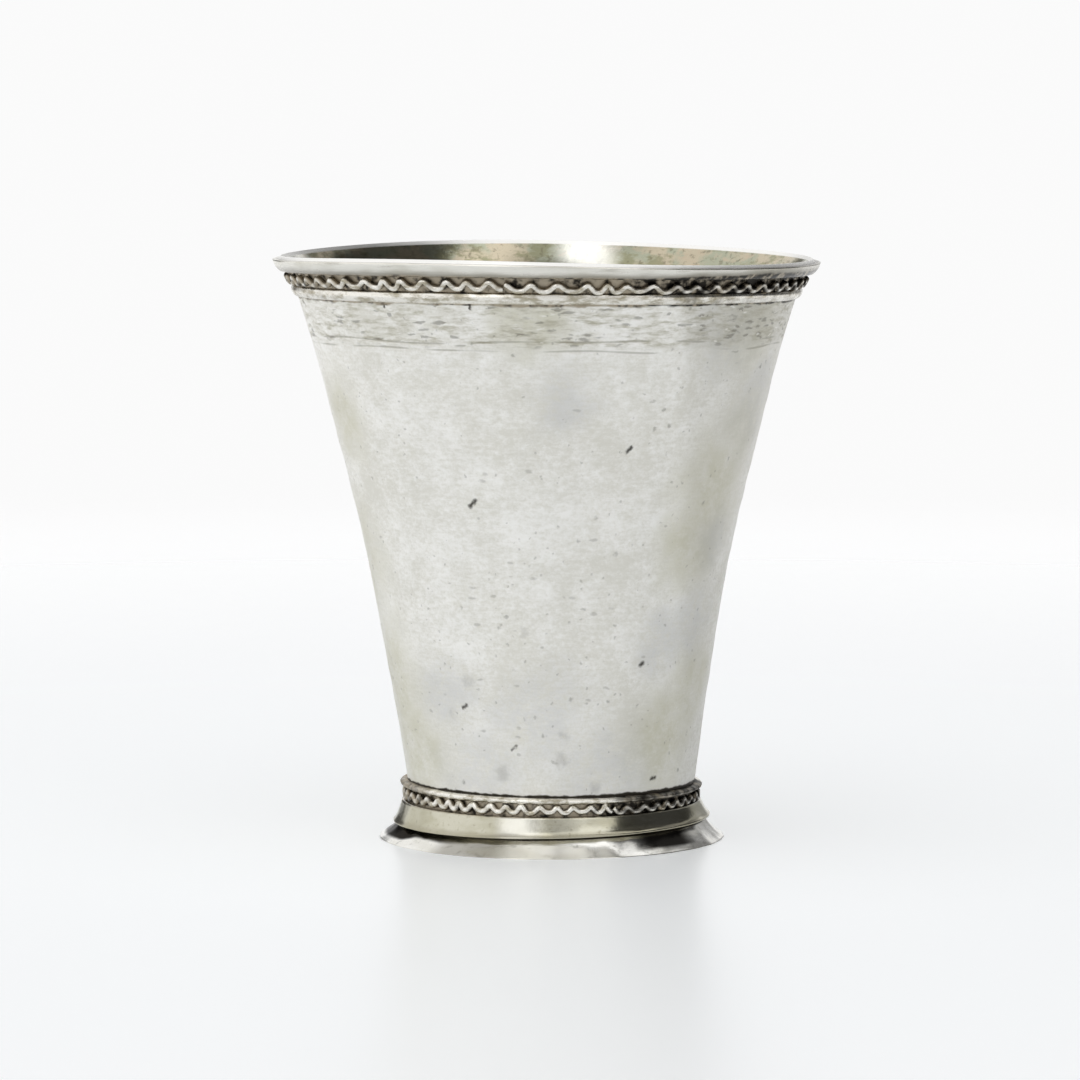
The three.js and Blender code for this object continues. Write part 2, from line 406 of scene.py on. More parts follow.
def cup_section():
    """The cup's outline: from the middle of its underside up the wall, over the lip, down to its floor."""
    heights = np.linspace(FOOT_TOP, THROAT[1], WALL_ROWS)
    reach = 2 * LINE_WIDTH + 2 * LINE_WOBBLE
    fine = [line + np.linspace(-reach, reach, LINE_ROWS) for line in LINE_HEIGHTS]
    heights = np.sort(np.concatenate([heights, *fine]))
    shaft = beside_wall(np.linspace(CUP.bottom + FLOOR_CORNER, FOOT_TOP, 6)[:-1])
    outside = np.vstack([shaft, beside_wall(heights), bend(LIP, 16)[1:-1]])
    depths = (LIP_INSIDE - CUP.bottom - FLOOR - FLOOR_CORNER) * np.linspace(0, 1, INSIDE_ROWS) ** 2
    inside = beside_wall(LIP_INSIDE - depths, -WALL)
    rim_middle = (outside[-1] + inside[0]) / 2
    half = (outside[-1] - inside[0]) / 2
    a = np.linspace(0, math.pi, 9)[1:-1, None]
    crest = rim_middle + half * np.cos(a) + (0, CUP.top - rim_middle[1]) * np.sin(a)
    inside_radius = WAIST_RADIUS - WALL
    corner = (inside_radius, CUP.bottom + FLOOR)
    well = bend(np.array([inside[-1], corner, (inside_radius - FLOOR_CORNER, corner[1])]), 6)[1:]
    floor = level_line(well[-1, 0], AXIS_GAP, corner[1], 14)[1:]
    heel = (WAIST_RADIUS, CUP.bottom)
    bottom = bend(np.array([(WAIST_RADIUS - FLOOR_CORNER, CUP.bottom), heel, shaft[0]]), 6)[:-1]
    under = level_line(AXIS_GAP, bottom[0, 0], CUP.bottom, 10)[:-1]
    outer = np.vstack([under, bottom, outside])
    return np.vstack([outer, crest, inside, well, floor]), len(outer)


def cup():
    """The raised cup, hammered and engraved with two lines; its outside and inside look different."""
    section, outer_points = cup_section()
    outside = np.arange(len(section)) < outer_points
    cut = np.where(outside, engraved(TURNS, section[:, 1]), 0)

    def displaced(turn, height):
        return hammered(turn, height) - LINE_DEPTH * cut

    made = turned("cup", section, closed=False, displaced=displaced, wear=1 - cut)
    made.data.materials.append(worn_silver())
    made.data.materials.append(stained_silver())
    quads = np.tile(~outside[:-1], SEGMENTS)
    fans = np.repeat([False, True], SEGMENTS)
    made.data.polygons.foreach_set("material_index", np.concatenate([quads, fans]).astype(int))
    return made


def edge_band():
    """The plain strip round the lip, its outer edge sharp."""
    top, bottom = beside_wall([BAND.top, BAND.bottom], -WALL / 4)
    foot = (beside_wall(BAND.bottom)[0] + BAND_FOOT, BAND.bottom)
    edge = (BAND.radius, BAND.top)
    bulge = (np.add(foot, edge) / 2) + BAND_BULGE * np.array([1, -0.6])
    face = bend(np.array([foot, bulge, edge]), 12)
    section = np.vstack([[top, bottom], face])
    wear = np.concatenate([[0, 0], np.linspace(0, 1, len(face))])
    return turned("edge_band", section, displaced=filed(BAND_FILED, seed=21), wear=wear)


def bead(name, node, height, projection, seed):
    """A half-round wire lying flat on the wall."""
    middle = node.bottom + height / 2
    a = np.linspace(0, math.pi, 15)
    crown = np.sin(a)
    face = beside_wall(np.full_like(a, middle), projection * crown, height / 2 * np.cos(a))
    back = beside_wall([middle, middle], -WALL / 4, height / 2 * np.array([-1, 1]))
    wear = np.concatenate([np.minimum(1, 3 * crown), [0, 0]])
    return turned(name, np.vstack([face, back]), displaced=filed(BEAD_FILED, seed), wear=wear)


def wave_wire(name, node, wire, pitch, rise, joint, seed):
    """A waved wire round the wall, bent a little unevenly by hand, its ends not quite meeting."""
    middle = (node.bottom + node.top) / 2
    lean = np.interp(middle, WALL_LINE[:, 1], WALL_LEAN)
    seat = middle + wire / 2 * math.sin(lean)
    radius = beside_wall(seat, wire / 2)[0]
    waves = round(TURN * radius / pitch) + 0.5
    gap = WIRE_JOINT / radius
    share = np.linspace(0, 1, round(waves * STEPS_PER_WAVE) + 1)
    turn = joint + gap / 2 + (TURN - gap) * share
    drift = WAVE_DRIFT * ripple(turn, 0, WAVE_RIPPLES, round(waves / 3), 1, seed)
    phase = FIRST_CREST + TURN * waves * share + drift
    uneven = WAVE_UNEVENNESS * ripple(turn, 0, WAVE_RIPPLES, round(waves / 2), 1, seed + 1)
    size = rise / 2 * (1 + uneven)
    wave = np.cos(phase) + CREST_SHARPNESS * (np.cos(2 * phase) - 1)
    swing = size * wave + WIRE_STEP * (share - 0.5)
    radius, height = beside_wall(np.full_like(turn, seat), wire / 2 - WIRE_SUNK, swing).T
    lean = np.interp(height, WALL_LINE[:, 1], WALL_LEAN)
    spin = np.column_stack([np.cos(turn), np.sin(turn)])
    line = np.column_stack([radius[:, None] * spin, height])
    out = np.column_stack([np.cos(lean)[:, None] * spin, -np.sin(lean)])
    # Painted highlight: the wire is lighter at its crests and troughs than on its slopes
    rubbed = SLOPE_HIGHLIGHT_SHARE + (1 - SLOPE_HIGHLIGHT_SHARE) * np.cos(phase) ** 2
    return drawn(name, line, out, wire, rubbed)


def collar():
    """The hollowed band of the foot with its sharp lower lip."""
    up = np.linspace(0, 1, 26) ** 3
    lip_flare = COLLAR.radius - COLLAR_NECK - COLLAR_CONE
    radius = COLLAR_NECK + COLLAR_CONE * (1 - up) + lip_flare * (1 - up) ** COLLAR_LIP_SHARPNESS
    foot = COLLAR.bottom + COLLAR_EDGE
    face = np.column_stack([radius, foot + (COLLAR.top - foot) * up])
    under = (WAIST_RADIUS, COLLAR.bottom)
    lip = eased(under, (COLLAR.radius, COLLAR.bottom), face[1], SOFT_EDGE)
    section = np.vstack([[under], lip, face[1:], [(WAIST_RADIUS, COLLAR.top)]])
    wear = np.concatenate([[0], np.linspace(0.85, 1, len(lip)), np.ones(len(face) - 2), [0.5, 0]])
    return turned("collar", section, displaced=filed(COLLAR_FILED, seed=41), wear=wear)


def flange():
    """The spreading ring that the beaker stands on."""
    sole = FLANGE.radius - FLANGE_SOLE
    radius = FLANGE.radius + FLANGE_OVERHANG
    edge = (radius, FLANGE.bottom)
    neck = (FLANGE_NECK, FLANGE.top)
    face = bend(np.array([edge, (radius - BRIM_WIDTH, BRIM_HEIGHT), neck]), 24)
    bore = (FLANGE_NECK - FLANGE_WALL, FLANGE.top)
    inside = hollow((sole, FLANGE.bottom), bore, FLANGE_HOLLOW, 12)[::-1]
    section = np.vstack([face, inside])
    # The flange's top under the collar's lip is darkened with soot and painted shade
    clear_of_joint_shade = np.clip((FLANGE.top - SHELTER - face[:, 1]) / SHELTER, 0, 1)
    wear = np.concatenate([clear_of_joint_shade, np.zeros(len(inside))])
    return turned("flange", section, displaced=filed(FLANGE_FILED, seed=42), wear=wear)


# Materials

def tone(red, green, blue):
    """A colour as it looks on screen, 0 to 255, in the shader's linear values."""
    shares = [v / 255 for v in (red, green, blue)]
    linear = [v / 12.92 if v <= 0.04045 else ((v + 0.055) / 1.055) ** 2.4 for v in shares]
    return (*linear, 1.0)


def grey(brightness):
    """A grey of the given linear brightness."""
    return (brightness,) * 3 + (1.0,)


OXIDE_BLACK = tone(46, 43, 39)
OXIDE_BROWN = tone(170, 160, 142)
SOOT = tone(72, 67, 58)
SATIN_DULL = tone(227, 225, 216)
SATIN_BRIGHT = tone(250, 249, 245)
YELLOW_STAIN = tone(203, 200, 177)
GREY_STAIN = tone(204, 204, 202)
SCUFF = tone(186, 182, 164)
# A dull tone for the cup's underside, also the colour of the painted shade on the wall's right side
DULL_TONE_AND_SHADE = tone(150, 146, 132)
SCRAPE = tone(98, 93, 82)
FLECK = tone(254, 253, 250)
PIT = tone(118, 114, 104)
SPECK = tone(100, 96, 88)
SMUDGE = tone(136, 133, 124)
NICK = tone(62, 58, 53)
CUT_LINE = tone(124, 118, 102)
INSIDE_OLIVE = tone(176, 178, 157)
INSIDE_TAN = tone(198, 187, 164)
OLIVE_STAIN = tone(150, 148, 118)
ROSE_STAIN = tone(199, 183, 160)
BROWN_SPOT = tone(118, 112, 90)
INSIDE_DEEP = tone(222, 220, 213)
# The flange's bright silver, also the colour of the painted highlights inside the cup
CLEAN_SILVER_AND_HIGHLIGHT = tone(244, 243, 239)
RUBBED_LIP = tone(250, 249, 246)
BAND_DULL = tone(214, 211, 199)
BAND_BRIGHT = tone(236, 234, 226)
BAND_SCRATCH = tone(150, 145, 132)
BAND_SHADE = tone(136, 130, 117)
SEAM = tone(240, 238, 232)
WIRE_BRIGHT = tone(243, 240, 232)
WIRE_STAIN = tone(178, 171, 152)
COLLAR_DULL = tone(188, 184, 162)
COLLAR_BRIGHT = tone(208, 205, 188)
COLLAR_STAIN = tone(140, 132, 108)
OLIVE_TARNISH = tone(140, 136, 108)
# Colour of the painted highlight on the collar
COLLAR_HIGHLIGHT = tone(222, 221, 216)
FLANGE_DULL = tone(226, 224, 216)
FLANGE_SPECK = tone(120, 116, 104)
# Colour of the painted dark reflections on the flange
DARK_REFLECTION = tone(42, 39, 35)
BROWN_REFLECTION = tone(128, 124, 112)


class Graph:
    """Adds nodes to a tree; each method gives the socket that it makes."""

    def __init__(self, tree):
        self.tree = tree

    def node(self, kind, inputs, **settings):
        made = self.tree.nodes.new(kind)
        for setting, value in settings.items():
            setattr(made, setting, value)
        for socket, value in inputs.items():
            self.feed(made.inputs[socket], value)
        return made

    def feed(self, socket, value):
        if isinstance(value, bpy.types.NodeSocket):
            self.tree.links.new(value, socket)
        else:
            socket.default_value = value

    def math(self, operation, a, b=0.0, c=0.0):
        return self.node("ShaderNodeMath", {0: a, 1: b, 2: c}, operation=operation).outputs[0]

    def vector(self, operation, a, b):
        made = self.node("ShaderNodeVectorMath", {0: a, 1: b}, operation=operation)
        return made.outputs["Value" if operation in ("DOT_PRODUCT", "DISTANCE") else "Vector"]

    def fade(self, value, low, high):
        """0 at low, 1 at high, eased between them; low may be the greater."""
        inputs = {"Value": value, "From Min": low, "From Max": high}
        return self.node("ShaderNodeMapRange", inputs, interpolation_type="SMOOTHSTEP").outputs["Result"]

    def band(self, value, low, high, soft):
        """1 between low and high, 0 outside, with soft edges."""
        return self.math("MULTIPLY", self.fade(value, low - soft, low), self.fade(value, high + soft, high))

    def mix(self, amount, a, b):
        """From colour a to colour b."""
        made = self.tree.nodes.new("ShaderNodeMix")
        made.data_type = "RGBA"
        for socket, value in ((0, amount), (6, a), (7, b)):
            self.feed(made.inputs[socket], value)
        return made.outputs[2]

    def noise(self, place, size, detail=2.0, rough=0.5):
        """Cloudy pattern with blotches about size across, from 0 to 1."""
        inputs = {"Vector": place, "Scale": 1 / size, "Detail": detail, "Roughness": rough}
        return self.node("ShaderNodeTexNoise", inputs).outputs["Fac"]

    def specks(self, place, spacing, share, reach):
        """Scattered specks: a share of the cells of a pattern holds one, its reach told in cells."""
        cell = self.node("ShaderNodeTexVoronoi", {"Vector": place, "Scale": 1 / spacing}).outputs
        chance = self.node("ShaderNodeSeparateColor", {0: cell["Color"]}).outputs[0]
        held = self.math("LESS_THAN", chance, share)
        return self.math("MULTIPLY", held, self.fade(cell["Distance"], reach, reach * 0.4))

    def larger(self, *values):
        """The greatest of several values."""
        result = values[0]
        for value in values[1:]:
            result = self.math("MAXIMUM", result, value)
        return result

    def sum(self, *parts):
        """Adds up pairs of a value and its weight."""
        total = 0.0
        for value, weight in parts:
            total = self.math("MULTIPLY_ADD", value, weight, total)
        return total


class Silver(Graph):
    """One silver material: its places in millimetres and its shader."""

    # The radius in millimetres at which stretched patterns come out in their stated size
    GIRTH = 30

    def __init__(self, name):
        self.material = bpy.data.materials.new(name)
        self.material.use_nodes = True
        super().__init__(self.material.node_tree)
        self.shader = self.tree.nodes["Principled BSDF"]
        self.shader.inputs["Metallic"].default_value = 1.0
        spot = self.node("ShaderNodeTexCoord", {}).outputs["Object"]
        self.place = self.vector("MULTIPLY", spot, (1 / MM,) * 3)
        self.level = self.node("ShaderNodeAttribute", {}, attribute_name="level").outputs["Fac"]
        self.wear = self.node("ShaderNodeAttribute", {}, attribute_name="wear").outputs["Fac"]

    def spin(self):
        """The level direction from the axis."""
        flat = self.vector("MULTIPLY", self.place, (1.0, 1.0, 0.0))
        return self.node("ShaderNodeVectorMath", {0: flat}, operation="NORMALIZE").outputs["Vector"]

    def stretched(self, around, upright=1.0):
        """Places drawn out round the axis and up it: patterns come out about that many times longer."""
        girth = self.GIRTH / around
        wide = self.vector("MULTIPLY", self.spin(), (girth, girth, 0.0))
        tall = self.vector("MULTIPLY", self.place, (0.0, 0.0, 1 / upright))
        return self.vector("ADD", wide, tall)

    def ragged(self, place, size, reach):
        """Places shaken by up to reach, so that what is drawn on them gets uneven edges."""
        inputs = {"Vector": place, "Scale": 1 / size, "Detail": 3.0}
        shake = self.node("ShaderNodeTexNoise", inputs).outputs["Color"]
        centred = self.vector("SUBTRACT", shake, (0.5,) * 3)
        return self.vector("ADD", place, self.vector("MULTIPLY", centred, (2 * reach,) * 3))

    def spots(self, spots, place):
        """1 at spots on the wall, each fading over its reach; azimuths are degrees right of the front."""
        made = []
        for azimuth, height, reach in spots:
            away = self.vector("DISTANCE", place, wall_place(azimuth, height))
            made.append(self.fade(away, reach, reach * 0.2))
        return self.larger(*made)

    def nick(self, place, azimuth, height, length, tilt, width):
        """A short straight mark on the wall; tilt is in degrees up from level, rising to the right."""
        centre = wall_place(azimuth, height)
        a = FRONT + math.radians(azimuth)
        level, upright = math.cos(math.radians(tilt)), math.sin(math.radians(tilt))
        heading = (-math.sin(a) * level, math.cos(a) * level, upright)
        offset = self.vector("SUBTRACT", place, centre)
        reach = self.vector("DOT_PRODUCT", offset, heading)
        ends = {"Value": reach, "Min": -length / 2, "Max": length / 2}
        held = self.node("ShaderNodeClamp", ends).outputs[0]
        along = {0: heading, "Scale": held}
        spot = self.node("ShaderNodeVectorMath", along, operation="SCALE").outputs["Vector"]
        return self.fade(self.vector("DISTANCE", offset, spot), width * 1.2, width * 0.1)

    def side(self, azimuth, reach):
        """1 on one side of the beaker, within a reach of an azimuth, both in degrees; 0 elsewhere."""
        a = FRONT + math.radians(azimuth)
        towards = self.vector("DOT_PRODUCT", self.spin(), (math.cos(a), math.sin(a), 0.0))
        outer, inner = (math.cos(math.radians(reach + edge)) for edge in (SIDE_EDGE, -SIDE_EDGE))
        return self.fade(towards, outer, inner)

    def stained(self, colour, where, share, stain):
        """A colour with a share of a stain laid over it where a mask says so."""
        return self.mix(self.sum((where, share)), colour, stain)

    def oxide(self):
        """The black and brown oxide of recesses that no cloth reaches, made blackest on the right side by
        painted shade.
        """
        blotch = self.noise(self.place, 1.6, 3, 0.6)
        shade = self.sum((blotch, 1.0), (self.side(*SHADED_SIDE), -0.13))
        return self.mix(self.fade(shade, 0.32, 0.56), OXIDE_BLACK, OXIDE_BROWN)

    def soot(self):
        """The black of a crack between two pieces."""
        return self.mix(self.noise(self.place, 1.2, 3, 0.6), OXIDE_BLACK, SOOT)

    def finish(self, colour, roughness, relief, depth):
        """Joins colour, roughness and a relief of the given depth to the shader."""
        self.feed(self.shader.inputs["Base Color"], colour)
        self.feed(self.shader.inputs["Roughness"], roughness)
        inputs = {"Height": relief, "Distance": depth, "Strength": 1.0}
        bump = self.node("ShaderNodeBump", inputs).outputs["Normal"]
        self.feed(self.shader.inputs["Normal"], bump)
        return self.material


def wall_place(azimuth, height):
    """A place on the cup's outer face in millimetres, as it stands after the smith's hand."""
    radius = float(np.interp(height * MM, WALL_LINE[:, 1], WALL_LINE[:, 0]))
    a = FRONT + math.radians(azimuth)
    point = hand_made((radius * math.cos(a), radius * math.sin(a), height * MM))
    return tuple(float(v) / MM for v in point)


# Places on the wall: degrees to the right of the front, height and reach in millimetres
YELLOWED = (
    (55, 58, 15),
    (49, 51, 12),
    (64, 68, 9),
    (46, 18, 13),
    (62, 26, 10),
    (55, 85, 12),
    (-4, 85, 8),
    (-62, 15, 14),
    (-73, 27, 15),
    (-84, 46, 16),
    (-70, 70, 11),
    (-112, 33, 14),
    (-102, 68, 9),
    (150, 40, 22),
    (-140, 60, 24),
)
GREYED = (
    (55, 37, 9),
    (40, 34, 8),
    (4, 73, 8),
    (60, 50, 8),
    (70, 72, 14),
    (50, 85, 14),
    (-40, 26, 9),
    (-4, 22, 13),
    (20, 14, 12),
    (-30, 13, 12),
    (-160, 30, 14),
    (120, 66, 12),
)
SCUFFED = (
    (52, 85, 14),
    (170, 85, 20),
)
PITTED = (
    (-2, 38, 18),
    (10, 24, 16),
    (-22, 30, 12),
    (175, 40, 24),
)
SMUDGES = (
    (-19.2, 12.9, 1.8),
    (3.7, 15.2, 1.5),
    (17.5, 10.8, 1.5),
    (-8.5, 36.0, 1.2),
    (-38, 22.5, 1.6),
    (-30, 28, 1.8),
    (5, 19.5, 1.6),
)
SPECKS = (
    (30.8, 71.9, 0.5), (33.2, 69.2, 0.6), (28.8, 68.8, 0.5), (13.6, 54.8, 0.55), (20.1, 48.8, 0.6),
    (11.0, 40.1, 0.5), (50.5, 56.4, 0.55), (59.1, 63.2, 0.5), (8.5, 51.1, 0.5), (-16.9, 36.9, 0.5),
    (-14.3, 38.7, 0.45), (7.2, 25.4, 0.5), (20.8, 24.8, 0.5), (-9.3, 22.0, 0.5), (-3.1, 19.3, 0.5),
    (-36.6, 11.1, 0.5), (-8.1, 80.6, 0.55), (66, 78.0, 0.55), (58.8, 12.5, 0.5),
)

# Short dark marks on the wall: degrees to the right of the front, height, length, tilt and width
NICKS = (
    (-22.0, 56.9, 1.5, 45, 0.45),
    (22.0, 65.6, 1.0, 43, 0.42),
    (-32.7, 23.7, 0.8, 35, 0.42),
    (-14.0, 17.3, 1.0, 38, 0.36),
    (33.1, 30.7, 0.4, 50, 0.5),
    (43.4, 11.8, 0.9, 8, 0.42),
    (-17.4, 88.1, 0.8, 88, 0.3),
    (-39.4, 88.2, 0.7, 80, 0.3),
)

# Sides of the beaker, as an azimuth in degrees right of the front and a reach to both sides of it
SIDE_EDGE = 5
# Painted shade: where the oxide and the crack above the foot turn blacker
SHADED_SIDE = (62, 44)
# Painted shade: where the wires turn darker
SHADED_WIRE_SIDE = (58, 33)
OLIVE_SIDE = (-84, 31)
# Painted dark reflections on the flange: its left side, its left tip and a patch on its right
DARK_REFLECTION_SIDE = (-66, 32)
DARK_REFLECTION_TIP = (-86, 24)
DARK_REFLECTION_PATCH = (45, 12)
# Painted brown reflection on the flange's front left
BROWN_REFLECTION_SIDE = (-30, 12)
# Painted highlights: inside the cup at the back and at the left, and on the collar's front left
HIGHLIGHT_BACK = (171.5, 4.5)
HIGHLIGHT_FRONT = (-12, 6)
HIGHLIGHT_LEFT = (-97, 12)

# Where painted shade darkens the wall and the edge band towards their right side, in millimetres right of
# the axis
WALL_SHADE_SPAN = (19, 23)
BAND_SHADE_SPAN = (2, 42)

# Where the cup's inside turns cleaner, as heights in millimetres
CLEAN_DEPTHS = (80, 62)

# The seam of the edge band: degrees to the right of the front, height, length, tilt and width
BAND_SEAM = (38.5, 93.8, 1.6, 86, 0.3)


def worn_silver():
    """The cup's outside: satin silver, clouded, yellowed in patches, specked, scuffed under the rim;
    painted shade on its right.
    """
    g = Silver("worn_silver")
    drift = g.noise(g.place, 13, 3, 0.5)
    cloud = g.noise(g.place, 4.5, 4, 0.6)
    grain = g.noise(g.stretched(1.5), 0.6, 3, 0.6)
    fine = g.noise(g.place, 0.36, 2, 0.6)
    brushed = g.noise(g.stretched(6), 0.5, 3, 0.6)
    soft = g.sum((drift, 0.2), (cloud, 0.26), (grain, 0.26), (fine, 0.14), (brushed, 0.14))
    colour = g.mix(g.fade(soft, 0.39, 0.61), SATIN_DULL, SATIN_BRIGHT)
    loose = g.ragged(g.place, 7, 4.5)
    broken = g.fade(g.sum((cloud, 0.6), (grain, 0.4)), 0.28, 0.62)
    yellowed = g.math("MULTIPLY", g.spots(YELLOWED, loose), broken)
    colour = g.stained(colour, yellowed, 0.75, YELLOW_STAIN)
    greyed = g.math("MULTIPLY", g.spots(GREYED, loose), broken)
    colour = g.stained(colour, greyed, 0.55, GREY_STAIN)
    satin = colour

    scuffed = g.band(g.level, LINE_HEIGHTS[1] / MM, RIM_BEAD.bottom / MM, 1.5)
    streak = g.noise(g.stretched(3.5), 0.8, 5, 0.65)
    colour = g.mix(g.math("MULTIPLY", scuffed, g.fade(streak, 0.42, 0.74)), colour, SCUFF)
    # Painted shade: the wall darkens towards its right side, more in the scuffed band under the rim
    right = g.fade(g.vector("DOT_PRODUCT", g.place, (1.0, 0.0, 0.0)), *WALL_SHADE_SPAN)
    painted_right_shade = g.math("MULTIPLY", right, g.sum((scuffed, 0.16), (0.16, 1.0)))
    colour = g.mix(painted_right_shade, colour, DULL_TONE_AND_SHADE)
    scraped = g.ragged(g.stretched(2.6), 0.7, 0.5)
    crowd = g.sum((g.spots(SCUFFED, loose), 0.35), (g.fade(cloud, 0.4, 0.7), 0.25), (0.14, 1.0))
    dashes = g.math("MULTIPLY", scuffed, g.specks(scraped, 0.75, crowd, 0.5))
    colour = g.stained(colour, dashes, 0.5, SCRAPE)
    flecks = g.math("MULTIPLY", scuffed, g.specks(scraped, 0.55, 0.1, 0.5))
    colour = g.stained(colour, flecks, 0.45, FLECK)

    shaken = g.ragged(g.place, 0.8, 0.5)
    thick = g.sum((g.fade(cloud, 0.45, 0.7), 0.2), (g.spots(PITTED, loose), 0.12), (0.02, 1.0))
    drawn_out = g.ragged(g.stretched(2.2), 1, 0.4)
    pits = g.larger(g.specks(shaken, 0.9, thick, 0.35), g.specks(drawn_out, 1.5, thick, 0.25))
    colour = g.stained(colour, pits, 0.32, PIT)
    specks = g.spots(SPECKS, shaken)
    colour = g.stained(colour, specks, 0.42, SPECK)
    smudges = g.math("MULTIPLY", g.spots(SMUDGES, g.ragged(g.place, 1.6, 1.6)), broken)
    colour = g.stained(colour, smudges, 0.3, SMUDGE)
    nicks = g.larger(*[g.nick(g.ragged(g.place, 0.6, 0.3), *nick) for nick in NICKS])
    colour = g.stained(colour, nicks, 0.9, NICK)

    cut = g.fade(g.wear, 0.95, 0.35)
    colour = g.stained(colour, cut, 0.4, CUT_LINE)
    edge = g.sum((g.noise(g.stretched(2), 2.4, 4, 0.6), 1.8), (g.level, 1.0))
    under_bead = g.fade(edge, RIM_BEAD.bottom / MM + 0.5, RIM_BEAD.bottom / MM + 0.85)
    colour = g.mix(under_bead, colour, g.oxide())
    crumbs = g.noise(g.stretched(2), 1.4, 3, 0.6)
    # Soot in the crack above the foot bead, widened on the right side as painted shade
    crack = g.sum((g.level, 1.0), (crumbs, 0.8), (g.side(*SHADED_SIDE), -0.2))
    colour = g.mix(g.fade(crack, FOOT_TOP / MM + 0.85, FOOT_TOP / MM + 0.6), colour, g.soot())
    behind_wave = g.fade(g.level, FOOT_BEAD.bottom / MM + 0.3, FOOT_BEAD.bottom / MM)
    colour = g.mix(behind_wave, colour, g.oxide())
    dulled = g.stained(satin, g.fade(cloud, 0.4, 0.65), 0.5, DULL_TONE_AND_SHADE)
    underside = g.fade(g.level, CUP.bottom / MM + 0.6, CUP.bottom / MM + 0.3)
    colour = g.mix(underside, colour, dulled)
    roughness = g.sum((cloud, 0.16), (nicks, 0.2), (yellowed, -0.06), (0.36, 1.0))
    relief = g.sum((cloud, 0.4), (grain, 0.25), (pits, -0.4), (specks, -0.6), (nicks, -1.6), (dashes, -0.4))
    return g.finish(colour, roughness, relief, 0.05 * MM)


def stained_silver():
    """The cup's inside: polished by use, stained tan, olive and rose, with painted highlights at its back
    and left.
    """
    g = Silver("stained_silver")
    cloud = g.noise(g.place, 5, 3, 0.6)
    stain = g.noise(g.stretched(1.8), 2.4, 5, 0.65)
    fine = g.noise(g.place, 1.1, 3, 0.6)
    colour = g.mix(g.fade(cloud, 0.42, 0.58), INSIDE_OLIVE, INSIDE_TAN)
    colour = g.stained(colour, g.fade(stain, 0.5, 0.6), 0.8, OLIVE_STAIN)
    colour = g.stained(colour, g.fade(stain, 0.45, 0.35), 0.7, ROSE_STAIN)
    colour = g.stained(colour, g.fade(fine, 0.54, 0.68), 0.55, BROWN_SPOT)
    deep = g.fade(g.level, *CLEAN_DEPTHS)
    colour = g.stained(colour, deep, 0.7, INSIDE_DEEP)
    # Painted highlights: pale strips on the inside at the back and at the left
    painted_highlight = g.larger(g.side(*HIGHLIGHT_BACK), g.side(*HIGHLIGHT_LEFT))
    colour = g.stained(colour, painted_highlight, 0.65, CLEAN_SILVER_AND_HIGHLIGHT)
    rubbed = g.fade(g.level, CUP.top / MM - 0.45, CUP.top / MM - 0.25)
    colour = g.mix(rubbed, colour, RUBBED_LIP)
    roughness = g.sum((stain, 0.16), (fine, 0.1), (rubbed, 0.25), (0.03, 1.0))
    return g.finish(colour, roughness, g.sum((stain, 0.6), (cloud, 0.8), (fine, 0.15)), 0.05 * MM)


def bright_silver():
    """The edge band: rubbed bright, with fine scratches round it, dirt and painted shade towards its lower
    edge and painted shade on its right.
    """
    g = Silver("bright_silver")
    cloud = g.noise(g.stretched(2), 4, 3)
    streak = g.noise(g.stretched(8), 0.7, 4, 0.6)
    colour = g.mix(g.fade(cloud, 0.38, 0.64), BAND_DULL, BAND_BRIGHT)
    colour = g.stained(colour, g.fade(streak, 0.52, 0.72), 0.35, BAND_SCRATCH)
    # Painted shade: the band darkens towards its lower edge and its right side, with oxide at the very
    # bottom
    right = g.fade(g.vector("DOT_PRODUCT", g.place, (1.0, 0.0, 0.0)), *BAND_SHADE_SPAN)
    lower = g.sum((g.wear, 1.0), (cloud, 0.6), (streak, 0.4), (right, -0.5))
    colour = g.stained(colour, g.fade(lower, 1.2, 0.65), 0.75, BAND_SHADE)
    colour = g.mix(g.fade(lower, 0.72, 0.5), colour, g.oxide())
    seam = g.nick(g.ragged(g.place, 0.7, 0.15), *BAND_SEAM)
    colour = g.stained(colour, seam, 0.6, SEAM)
    roughness = g.sum((streak, 0.2), (cloud, 0.12), (0.08, 1.0))
    return g.finish(colour, roughness, streak, 0.02 * MM)


def dull_wire():
    """The wires: black and brown in the recesses, worn bright on the crowns, darkened on the right side by
    painted shade.
    """
    g = Silver("dull_wire")
    patina = g.noise(g.place, 2.2, 4, 0.6)
    foot_bead = g.band(g.level, FOOT_BEAD.bottom / MM, FOOT_BEAD.top / MM, 0.1)
    # Painted shade darkens the wires on the right side, the foot bead most; the olive side is tarnished
    sides = g.larger(g.side(*SHADED_WIRE_SIDE), g.side(*OLIVE_SIDE))
    dull = g.math("MULTIPLY", sides, g.sum((foot_bead, 0.42), (0.38, 1.0)))
    exposed = g.fade(g.sum((g.wear, 1.0), (patina, 1.2), (dull, -1.0)), 0.6, 1.4)
    stain = g.noise(g.stretched(2.2), 1.1, 4, 0.65)
    bright = g.mix(g.fade(stain, 0.42, 0.66), WIRE_BRIGHT, WIRE_STAIN)
    colour = g.mix(exposed, g.oxide(), bright)
    roughness = g.sum((exposed, -0.28), (patina, 0.2), (0.42, 1.0))
    return g.finish(colour, roughness, g.sum((patina, 1.0), (stain, 0.5)), 0.03 * MM)


